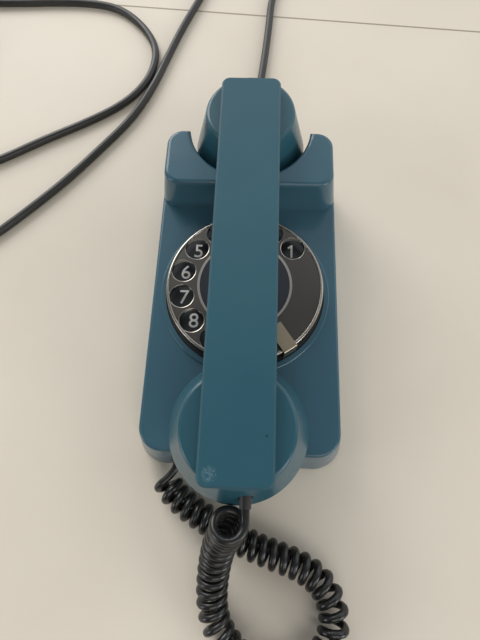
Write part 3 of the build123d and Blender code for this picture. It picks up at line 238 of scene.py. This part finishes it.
materials = {
    "shell_blue": mouldedPlastic("petrolShell", **bluer),
    "handset_blue": mouldedPlastic("petrolHandset", **petrol),
    "plate_black": mouldedPlastic("backPlate", (0.03, 0.03, 0.032), (0.022, 0.022, 0.024), 0.5, 900,
                                  0.00002),
    "feet_rubber": mouldedPlastic("footRubber", (0.025, 0.025, 0.025), (0.035, 0.034, 0.033), 0.75, 700,
                                  0.00003),
    "screw_steel": brushedMetal("screwSteel", (0.55, 0.55, 0.54), 0.3, stretch=(1, 8, 1)),
    "case_black": mouldedPlastic("dialCase", (0.012, 0.012, 0.014), (0.02, 0.02, 0.021), 0.4, 1200, 0.00001),
    "number_black": mouldedPlastic("numberPlate", (0.010, 0.013, 0.016), (0.014, 0.017, 0.019), 0.3),
    "stop_metal": brushedMetal("stopMetal", (0.42, 0.36, 0.26), 0.34, fine=1600),
    "wheel_metal": mouldedPlastic("wheelMetal", (0.105, 0.100, 0.090), (0.090, 0.085, 0.076), 0.3,
                                  metallic=1.0),
    "ring_silver": brushedMetal("ringSilver", (0.40, 0.375, 0.335), 0.2, centre=dialCentre, fine=2600),
    "disc_black": mouldedPlastic("centreDisc", (0.010, 0.014, 0.022), (0.013, 0.018, 0.026), 0.1),
    "gear_brass": brushedMetal("gearBrass", (0.68, 0.48, 0.2), 0.3, stretch=(6, 1, 1)),
    "shaft_steel": brushedMetal("plateSteel", (0.58, 0.58, 0.59), 0.32, stretch=(1, 9, 1)),
    "board_green": mouldedPlastic("circuitBoard", (0.05, 0.17, 0.07), (0.04, 0.13, 0.06), 0.35),
    "block_ivory": mouldedPlastic("ivoryPlastic", (0.62, 0.57, 0.44), (0.56, 0.51, 0.38), 0.45),
    "winding_copper": brushedMetal("windingCopper", (0.5, 0.19, 0.07), 0.35, stretch=(1, 1, 20), fine=400),
    "core_grey": mouldedPlastic("coreIron", (0.2, 0.2, 0.21), (0.14, 0.14, 0.145), 0.45, 800, 0.00002),
    "capacitor_yellow": mouldedPlastic("capacitorShell", (0.6, 0.4, 0.07), (0.52, 0.34, 0.06), 0.2),
    "hook_white": mouldedPlastic("hookPlastic", (0.68, 0.66, 0.6), (0.62, 0.6, 0.53), 0.35),
    "gong_steel": brushedMetal("gongSteel", (0.62, 0.61, 0.58), 0.22, centre=gongCentre, fine=1500),
    "capsule_alu": brushedMetal("capsuleAluminium", (0.6, 0.6, 0.6), 0.3, centre=capsuleLines, fine=1500),
    "gasket_felt": mouldedPlastic("gasketRubber", (0.04, 0.04, 0.04), (0.05, 0.05, 0.05), 0.85, 500,
                                  0.00005),
    "weight_iron": mouldedPlastic("castIron", (0.12, 0.12, 0.12), (0.17, 0.16, 0.15), 0.5, 500, 0.00005,
                                  metallic=0.8),
    "relief_black": mouldedPlastic("reliefRubber", (0.018, 0.018, 0.019), (0.024, 0.024, 0.025), 0.42, 900,
                                   0.00001),
    "cord_black": mouldedPlastic("curlRubber", (0.009, 0.0095, 0.0092), (0.014, 0.0145, 0.014), 0.27, 1100,
                                 0.00001),
    "line_grey": mouldedPlastic("lineCordSheath", (0.018, 0.018, 0.017), (0.028, 0.028, 0.026), 0.42, 900,
                                0.00001),
    "tie_black": mouldedPlastic("tiePlastic", (0.03, 0.03, 0.03), (0.04, 0.04, 0.04), 0.5),
    "plug_black": mouldedPlastic("plugRubber", (0.04, 0.04, 0.042), (0.052, 0.052, 0.054), 0.42, 900,
                                 0.00001),
    "pin_brass": brushedMetal("pinBrass", (0.72, 0.6, 0.34), 0.22, stretch=(1, 8, 8)),
}

# Two marks on the bar, over the mouthpiece. Noise between the two values gives each its speckle.
barMarks = {
    "scuff": {
        "place": (-0.0096, -0.0911, 0.066),
        "reach": 0.0036,
        "colour": (0.12, 0.20, 0.24),
        "noise": (0.42, 0.66),
    },
    "speck": {
        "place": (0.0112, -0.0769, 0.066),
        "reach": 0.0006,
        "colour": (0.01, 0.02, 0.025),
        "noise": (0.0, 0.2),
    },
}
addMark(materials["handset_blue"], barMarks["scuff"])
addMark(materials["handset_blue"], barMarks["speck"])

for part in frame["record"]["subparts"]:
    mesh = nodes[part["node"]].data
    mesh.materials.clear()
    mesh.materials.append(materials[part["material_slot"]])
print("materials", len(materials))


def finishPiece(piece, body, slot, replaced=()):
    if not piece.data.materials:
        piece.data.materials.append(materials[slot])
    collection.objects.link(piece)
    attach(piece, body)
    if replaced:
        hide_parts(*replaced)


def pieceFrom(bm, name, smoothAngle=35):
    # Joins doubles, points the faces outwards and smooths all but the sharp edges.
    bmesh.ops.remove_doubles(bm, verts=bm.verts, dist=1e-6)
    bmesh.ops.recalc_face_normals(bm, faces=bm.faces)
    mesh = bpy.data.meshes.new(name)
    bm.to_mesh(mesh)
    bm.free()
    mesh.shade_smooth()
    mesh.set_sharp_from_angle(angle=math.radians(smoothAngle))
    return bpy.data.objects.new(name, mesh)


# The cords: their control points lie where the CAD tubes lie.
floorLine = 0.0026
curlHeight = 0.00715
handsetCord = {
    "wire": 0.0036,
    "length": 1.52,
    "pointsPerTurn": 16,
    "out": [(0.0040, -0.1035, 0.0512), (0.0040, -0.1062, 0.0513)],
    "in": [(-0.0318, -0.0925, 0.0126), (-0.0298, -0.0895, 0.0130), (-0.0295, -0.0868, 0.0130)],
    "route": [
        (-0.0020, -0.1089, 0.0512), (-0.0024, -0.1118, 0.0425), (-0.0048, -0.1156, 0.0330),
        (-0.0072, -0.1216, 0.0245), (-0.0090, -0.1306, 0.0170), (-0.0098, -0.1410, 0.0112),
        (-0.0088, -0.1510, 0.0078), (-0.0036, -0.1605, curlHeight), (0.0060, -0.1688, curlHeight),
        (0.0200, -0.1730, curlHeight), (0.0340, -0.1700, curlHeight), (0.0432, -0.1605, curlHeight),
        (0.0456, -0.1486, curlHeight), (0.0410, -0.1370, curlHeight), (0.0300, -0.1296, curlHeight),
        (0.0150, -0.1252, curlHeight), (0.0005, -0.1200, curlHeight), (-0.0135, -0.1128, curlHeight),
        (-0.0240, -0.1066, curlHeight), (-0.0322, -0.1002, curlHeight), (-0.0348, -0.0955, curlHeight),
    ],
    # Share of the way along the route, pitch there, and radius to the middle of the wire.
    "stations": [
        (0.0, 0.0050, 0.0060), (0.15, 0.0049, 0.0056), (0.27, 0.0055, 0.00525), (0.33, 0.0060, 0.0052),
        (0.6, 0.0062, 0.0052), (0.66, 0.0052, 0.0052), (0.85, 0.0048, 0.0052), (1.0, 0.0056, 0.0052),
    ],
}


def outsideCircle(pointsPerTurn):
    # A spline cuts inside its control points, so they stand this much outside the circle that it draws.
    return 1 / (0.75 + 0.25 * math.cos(math.tau / pointsPerTurn))


def splineCurve(name, points, radius=0.0, resolution=6, sides=3):
    data = bpy.data.curves.new(name, "CURVE")
    data.dimensions = "3D"
    data.resolution_u = resolution
    data.bevel_depth = radius
    data.bevel_resolution = sides
    data.use_fill_caps = radius > 0
    spline = data.splines.new("NURBS")
    spline.points.add(len(points) - 1)
    for point, place in zip(spline.points, points):
        point.co = (*place, 1)
    spline.order_u = 3
    spline.use_endpoint_u = True
    return bpy.data.objects.new(name, data)


def centreLine(points):
    # The smooth line itself, as points close together.
    guide = splineCurve("guide", points, resolution=40)
    collection.objects.link(guide)
    bpy.context.view_layer.update()
    mesh = bpy.data.meshes.new_from_object(guide)
    line = [vertex.co.copy() for vertex in mesh.vertices]
    bpy.data.objects.remove(guide)
    bpy.data.meshes.remove(mesh)
    return line


def curlAt(stations, share):
    for (before, *first), (after, *second) in zip(stations, stations[1:]):
        if share <= after:
            part = (share - before) / (after - before)
            return [a + (b - a) * part for a, b in zip(first, second)]
    return stations[-1][1:]


def curlPoints(spec):
    # Walks along the route and turns round it with the pitch and radius of the stations.
    axis = centreLine(spec["route"])
    runs = [(b - a).length for a, b in zip(axis, axis[1:])]
    total = sum(runs)
    side = Vector((1, 0, 0))
    frames, turned, gone, turn = [], [], 0.0, 0.0
    for n, centre in enumerate(axis):
        ahead = (axis[min(n + 1, len(axis) - 1)] - axis[max(n - 1, 0)]).normalized()
        side = (side - ahead * side.dot(ahead)).normalized()
        pitch, radius = curlAt(spec["stations"], gone / total)
        frames.append((centre, side * radius, ahead.cross(side) * radius))
        turned.append(turn)
        if n < len(runs):
            gone += runs[n]
            turn += runs[n] / pitch
    endAngle = math.atan2(frames[-1][2].z, frames[-1][1].z)  # the wire ends on top
    turns = round(turn - endAngle / math.tau) + endAngle / math.tau
    count = round(turns * spec["pointsPerTurn"])
    reach = outsideCircle(spec["pointsPerTurn"])
    points, n = [], 0
    for k in range(count + 1):
        wanted = min(k / count * turn, turn)
        while n < len(turned) - 2 and turned[n + 1] < wanted:
            n += 1
        share = (wanted - turned[n]) / (turned[n + 1] - turned[n])
        centre, u, v = (a.lerp(b, share) for a, b in zip(frames[n], frames[n + 1]))
        angle = math.tau * turns * k / count
        points.append(centre + u * (reach * math.cos(angle)) + v * (reach * math.sin(angle)))
    return points


curl = curlPoints(handsetCord)
curlPath = handsetCord["out"] + [tuple(point) for point in curl] + handsetCord["in"]
curlPiece = splineCurve("handsetCurl", curlPath, handsetCord["wire"] / 2, 3, 4)
finishPiece(curlPiece, "base", "cord_black", ["handset_cord"])
print("handset cord with", len(curlPath), "points")

lineCord = {
    "thickness": 0.005,
    "length": 2.28,
    "exit": (0.0, 0.1016, 0.0082),
    "route": [
        (0.0, 0.1096, 0.0082), (0.0008, 0.123, 0.0052), (0.0022, 0.140, floorLine),
        (0.0046, 0.160, floorLine), (0.0070, 0.184, floorLine), (0.0092, 0.212, floorLine),
        (0.0105, 0.238, floorLine),
        (0.0165, 0.262, floorLine), (0.030, 0.283, floorLine), (0.032, 0.308, floorLine),
        (0.014, 0.327, floorLine), (-0.011, 0.325, floorLine), (-0.027, 0.304, floorLine),
        (-0.031, 0.274, floorLine),
        (-0.040, 0.242, floorLine), (-0.0525, 0.208, floorLine), (-0.0605, 0.180, floorLine),
        (-0.0680, 0.153, floorLine), (-0.0795, 0.126, floorLine), (-0.0975, 0.101, floorLine),
        (-0.113, 0.080, floorLine), (-0.131, 0.0595, floorLine), (-0.151, 0.0385, floorLine),
        (-0.173, 0.020, floorLine), (-0.198, 0.0135, floorLine), (-0.219, 0.028, floorLine),
        (-0.221, 0.054, floorLine), (-0.204, 0.074, floorLine), (-0.180, 0.082, floorLine),
        (-0.157, 0.0935, floorLine), (-0.134, 0.1085, floorLine), (-0.110, 0.122, floorLine),
        (-0.089, 0.136, floorLine), (-0.076, 0.151, floorLine), (-0.069, 0.169, floorLine),
        (-0.069, 0.189, floorLine), (-0.0805, 0.209, floorLine), (-0.099, 0.226, floorLine),
        (-0.122, 0.2315, floorLine), (-0.150, 0.2316, floorLine), (-0.178, 0.2302, floorLine),
        (-0.210, 0.2295, 0.0033),
    ],
    "coilCentre": (-0.238, 0.1945),
    "coilRadius": 0.035,
    "coilPitch": 0.0056,
    "coilLow": 0.0033,
    "turnsIn": 3,
    "climbInset": 0.4,  # share of a pitch
    "pointsPerTurn": 16,
    "tail": 0.023,
}


def coilPoints(spec):
    # Spirals in on the floor, climbs over half a turn and spirals out on top of itself.
    radius, pitch, low = spec["coilRadius"], spec["coilPitch"], spec["coilLow"]
    inner = radius - spec["turnsIn"] * pitch
    tight = inner - spec["climbInset"] * pitch
    reach = outsideCircle(spec["pointsPerTurn"])
    count = (2 * spec["turnsIn"] + 1) * spec["pointsPerTurn"]
    points = []
    for k in range(count + 1):
        gone = k / spec["pointsPerTurn"]
        if gone <= spec["turnsIn"]:
            spread, height = radius - gone * pitch, low
        elif gone <= spec["turnsIn"] + 0.5:
            share = (gone - spec["turnsIn"]) * 2
            spread, height = inner + (tight - inner) * share, low + pitch * (3 - 2 * share) * share * share
        elif gone <= spec["turnsIn"] + 1:
            share = (gone - spec["turnsIn"] - 0.5) * 2
            spread, height = tight + (inner + pitch / 2 - tight) * share, low + pitch
        else:
            spread, height = inner + pitch / 2 + (gone - spec["turnsIn"] - 1) * pitch, low + pitch
        angle = math.tau * gone + math.pi / 2
        points.append((spec["coilCentre"][0] + spread * reach * math.cos(angle),
                       spec["coilCentre"][1] + spread * reach * math.sin(angle), height))
    return points


coil = coilPoints(lineCord)
coilX, coilY = lineCord["coilCentre"]
tailY = coilY + lineCord["coilRadius"] + lineCord["coilPitch"] / 2
tailZ = lineCord["coilLow"] + lineCord["coilPitch"]
tailPoints = [(coilX - lineCord["tail"] * share, tailY, tailZ) for share in (0.5, 1.0)]
linePath = [lineCord["exit"]] + lineCord["route"] + coil + tailPoints
linePiece = splineCurve("lineCord", linePath, lineCord["thickness"] / 2, 6, 5)
finishPiece(linePiece, "base", "line_grey", ["line_cord", "line_cord_coil"])
print("line cord with", len(linePath), "points")


numbers = {
    "height": 0.0104,
    "radius": 0.031,
    "first": 41.5,  # direction of the 1 from the dial's middle, and the step to the next figure, in degrees
    "step": 25.2,
    "shift": 0.0018,  # the figures sit this far towards the earpiece from their holes' middles
    "top": 0.0300,
    "thick": 0.00008,
    "bolder": 0.00004,
    "colour": (0.72, 0.72, 0.69),
    "deeperTone": 0.9,  # share of the colour
    "one": [(-0.04, -0.35), (0.055, -0.35), (0.055, 0.35), (-0.01, 0.35), (-0.19, 0.21), (-0.14, 0.14),
            (-0.04, 0.21)],
}


def figureMesh(spec, figure):
    text = bpy.data.curves.new("figure", "FONT")
    text.body = figure
    text.size = spec["height"]
    text.align_x = "CENTER"
    text.align_y = "CENTER"
    text.extrude = spec["thick"]
    text.offset = spec["bolder"]
    holder = bpy.data.objects.new("figure", text)
    collection.objects.link(holder)
    bpy.context.view_layer.update()
    mesh = bpy.data.meshes.new_from_object(holder)
    bpy.data.objects.remove(holder)
    return mesh


def oneMesh(spec):
    # The 1 has a flag, which the built-in letters lack.
    bm = bmesh.new()
    size, deep = spec["height"], spec["thick"]
    face = bm.faces.new([bm.verts.new((x * size, y * size, -deep)) for x, y in spec["one"]])
    grown = bmesh.ops.extrude_face_region(bm, geom=[face])
    raised = [part for part in grown["geom"] if isinstance(part, bmesh.types.BMVert)]
    bmesh.ops.translate(bm, vec=(0, 0, 2 * deep), verts=raised)
    mesh = bpy.data.meshes.new("figure")
    bm.to_mesh(mesh)
    bm.free()
    return mesh


def onDial(radius, n):
    # The place of the hole or figure with this number, counted from the 1.
    angle = math.radians(numbers["first"] + numbers["step"] * n)
    return dialCentre[0] + radius * math.cos(angle), dialCentre[1] + radius * math.sin(angle)


def makeNumbers(spec):
    joined = bmesh.new()
    for n, figure in enumerate("1234567890"):
        mesh = oneMesh(spec) if figure == "1" else figureMesh(spec, figure)
        x, y = onDial(spec["radius"], n)
        mesh.transform(Matrix.Translation((x, y + spec["shift"], spec["top"] + spec["thick"])))
        joined.from_mesh(mesh)
        bpy.data.meshes.remove(mesh)
    piece = pieceFrom(joined, "dialNumbers")
    deeper = tuple(part * spec["deeperTone"] for part in spec["colour"])
    piece.data.materials.append(mouldedPlastic("numberPaint", spec["colour"], deeper, 0.45))
    return piece


finishPiece(makeNumbers(numbers), "base", "number_black")
print("dial numbers")


def spinProfile(bm, outline, centre, steps):
    # Turns a closed outline of (radius, height) once round an upright axis.
    verts = [bm.verts.new((centre[0] + radius, centre[1], height)) for radius, height in outline]
    edges = [bm.edges.new((a, b)) for a, b in zip(verts, verts[1:] + verts[:1])]
    bmesh.ops.spin(bm, geom=verts + edges, cent=(centre[0], centre[1], 0), axis=(0, 0, 1), angle=math.tau,
                   steps=steps, use_merge=True, use_duplicate=False)


wheelRims = {
    "holeRadius": 0.0060,
    "holeCircle": 0.031,
    "top": 0.0370,
    "under": 0.0348,
    "sink": 0.0001,  # a rim's foot stands this deep in the wheel, and its tube reaches this far under it
    "lip": 0.00018,
    "width": 0.0003,
    "bite": 0.00018,  # how far a rim narrows its hole
    "hold": 0.0002,  # how far the tube stands in the hole's wall
    "edgeRadius": 0.038,
    "edgeWidth": 0.0013,
    "edgeRise": 0.0004,
    "edgeStep": 0.00015,
    "edgeShoulder": 0.0001,
    "edgeSkirt": 0.0003,
    "holeSteps": 40,
    "edgeSteps": 128,
}


def makeWheelRims(spec):
    bm = bmesh.new()
    top, foot, under = spec["top"], spec["top"] - spec["sink"], spec["under"] - spec["sink"]
    r, w, lip = spec["holeRadius"], spec["width"], spec["lip"]
    inner, held = r - spec["bite"], r + spec["hold"]
    outline = [(r + w, foot), (r + w, top + lip * 0.3), (r + w * 0.6, top + lip),
               (r + w * 0.1, top + lip * 0.9), (inner, top + lip * 0.2), (inner, under), (held, under),
               (held, foot)]
    for n in range(10):
        spinProfile(bm, outline, onDial(spec["holeCircle"], n), spec["holeSteps"])
    e, w, rise, step = spec["edgeRadius"], spec["edgeWidth"], spec["edgeRise"], spec["edgeStep"]
    skirt, low = spec["edgeSkirt"], spec["under"]
    outline = [(e - w, foot), (e - w, top + step), (e - w * 0.8, top + rise), (e - w * 0.45, top + rise),
               (e - w * 0.35, top + step), (e - w * 0.1, top + spec["edgeShoulder"]),
               (e + skirt, top - skirt), (e + skirt, low + skirt), (e, low), (e - w, low)]
    spinProfile(bm, outline, dialCentre, spec["edgeSteps"])
    return pieceFrom(bm, "wheelRims", 50)


finishPiece(makeWheelRims(wheelRims), "dial", "ring_silver")
print("wheel rims")


table = {"size": 6.0, "colour": (0.74, 0.675, 0.57), "deeper": (0.70, 0.635, 0.53), "toneScale": 9}


def makeTable(spec):
    bm = bmesh.new()
    bmesh.ops.create_grid(bm, x_segments=4, y_segments=4, size=spec["size"] / 2)
    piece = pieceFrom(bm, "tableTop")
    material, tree, shader = newMaterial("tablePaint", {"Roughness": 0.55, "IOR": 1.45})
    place = objectPlace(tree)
    tone = noiseBetween(tree, place, spec["toneScale"], 0, 1)
    tree.links.new(mixColours(tree, tone, spec["colour"], spec["deeper"]), shader.inputs["Base Color"])
    piece.data.materials.append(material)
    collection.objects.link(piece)


makeTable(table)

# Painted shade: a thin strip laid flat on the table, in a darker tone of the table's colour, where the step
# up to the sill behind it lies in shade.
sillStepShade = {
    "middle": (0.0116, 0.2237, 0.00002),
    "turn": -4.67,
    "size": (1.6, 0.0012, 0.0001),
    "colour": (0.34, 0.29, 0.21),
}


def makeSillStepShade(spec):
    bm = bmesh.new()
    bmesh.ops.create_cube(bm, size=1)
    turn = Matrix.Rotation(math.radians(spec["turn"]), 4, "Z")
    bm.transform(Matrix.Translation(spec["middle"]) @ turn @ Matrix.Diagonal((*spec["size"], 1)))
    piece = pieceFrom(bm, "sillStepShade")
    # The strip's colour is painted shade, darker than the table round it.
    piece.data.materials.append(mouldedPlastic("sillStepShadePaint", spec["colour"], spec["colour"], 0.6, 300))
    collection.objects.link(piece)


makeSillStepShade(sillStepShade)

lighting = {
    "sky": (0.94, 0.96, 1.0),
    "near": 0.05,  # strength of the sky towards -Y, overhead and towards +Y
    "over": 0.24,
    "far": 1.15,
    "nearToOver": (-0.5, 0.1),  # the direction's Y where each change starts and ends
    "overToFar": (0.1, 0.85),
    "seen": 0.72,  # strength of the backdrop itself
    "patchEdge": (0.965, 0.992),  # cosine from a patch's middle where it starts and is full
    "patches": [((0.80, -0.52, 0.30), 7.0), ((-0.88, -0.36, 0.30), 4.5)],  # pale walls at both sides
    "window": {"place": (-0.95, 1.35, 1.0), "size": 1.1, "power": 19.5, "colour": (1.0, 0.98, 0.94)},
    "fill": {"place": (0.45, -1.5, 1.5), "size": 1.6, "power": 15.5, "colour": (1.0, 0.97, 0.93)},
    "side": {"place": (1.7, 0.5, 1.2), "size": 1.2, "power": 5, "colour": (1.0, 0.97, 0.92)},
}


def makeLamp(name, spec):
    data = bpy.data.lights.new(name, "AREA")
    data.shape = "SQUARE"
    data.size = spec["size"]
    data.energy = spec["power"]
    data.color = spec["colour"]
    lamp = bpy.data.objects.new(name, data)
    aim = -Vector(spec["place"])  # towards the origin
    lamp.rotation_euler = aim.to_track_quat("-Z", "Y").to_euler()
    lamp.location = spec["place"]
    collection.objects.link(lamp)


def makeWorld(spec):
    # The room grows lighter towards +Y and has a soft pale patch at each side.
    world = bpy.data.worlds.new("room")
    world.use_nodes = True
    tree = world.node_tree
    background = tree.nodes["Background"]
    background.inputs["Color"].default_value = (*spec["sky"], 1)
    direction = tree.nodes.new("ShaderNodeTexCoord").outputs["Generated"]
    parts = addNode(tree, "ShaderNodeSeparateXYZ")
    tree.links.new(direction, parts.inputs["Vector"])
    along = parts.outputs["Y"]
    total = mappedValue(tree, along, *spec["nearToOver"], spec["near"], spec["over"], smooth=True)
    farther = mappedValue(tree, along, *spec["overToFar"], 0, spec["far"] - spec["over"], smooth=True)
    total = combineValues(tree, "ADD", total, farther)
    for towards, strength in spec["patches"]:
        facing = addNode(tree, "ShaderNodeVectorMath", operation="DOT_PRODUCT")
        tree.links.new(direction, facing.inputs[0])
        facing.inputs[1].default_value = Vector(towards).normalized()
        patch = mappedValue(tree, facing.outputs["Value"], *spec["patchEdge"], 0, strength, smooth=True)
        total = combineValues(tree, "ADD", total, patch)
    shown = tree.nodes.new("ShaderNodeMix")
    tree.links.new(tree.nodes.new("ShaderNodeLightPath").outputs["Is Camera Ray"], shown.inputs[0])
    tree.links.new(total, shown.inputs[2])
    shown.inputs[3].default_value = spec["seen"]
    tree.links.new(shown.outputs[0], background.inputs["Strength"])
    bpy.context.scene.world = world


makeWorld(lighting)
for lampName in ("window", "fill", "side"):
    makeLamp(lampName, lighting[lampName])
bpy.context.scene.view_settings.view_transform = "Standard"
print("table and light")

bpy.context.view_layer.update()
